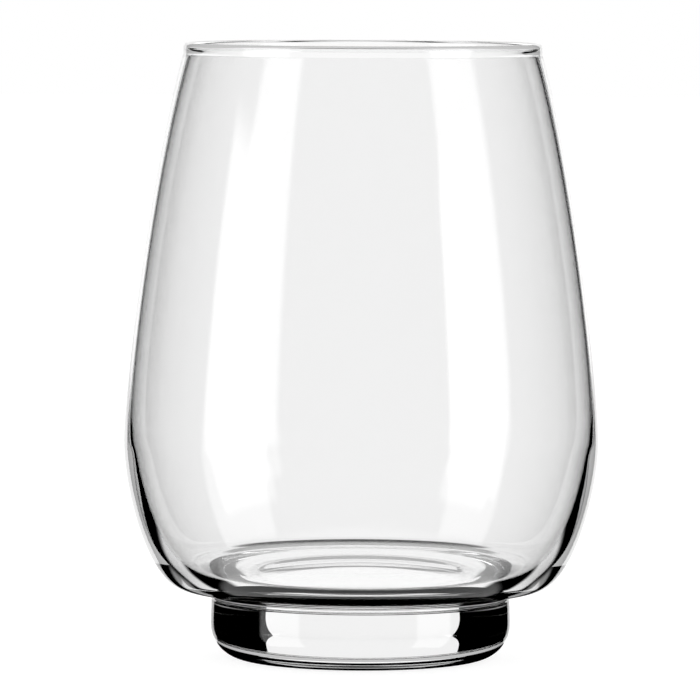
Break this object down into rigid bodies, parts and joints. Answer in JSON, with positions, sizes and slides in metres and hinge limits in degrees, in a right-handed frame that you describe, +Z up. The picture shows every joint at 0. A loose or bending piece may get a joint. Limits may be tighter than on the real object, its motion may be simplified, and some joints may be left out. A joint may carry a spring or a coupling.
{
  "type": "stemless wine glass",
  "caption": "Clear stemless wine glass: a blown bowl that swells to a low belly and narrows to a rounded lip, fused to a thick round pressed foot.",
  "frame": {"origin": "centre of the ring under the foot, on the surface that the glass stands on", "axes": "+Z up along the axis of the glass, out of its mouth; the glass is round, so +X and +Y are any two directions across it"},
  "size_m": [0.0902, 0.0902, 0.117],
  "materials": {
    "blown_glass": "clear colourless blown glass with a fire-polished lip",
    "pressed_glass": "clear colourless pressed glass, fire-polished, with a faint mould line"
  },
  "bodies": {
    "root": {"bowl": "blown_glass", "foot": "pressed_glass"}
  },
  "joints": []
}
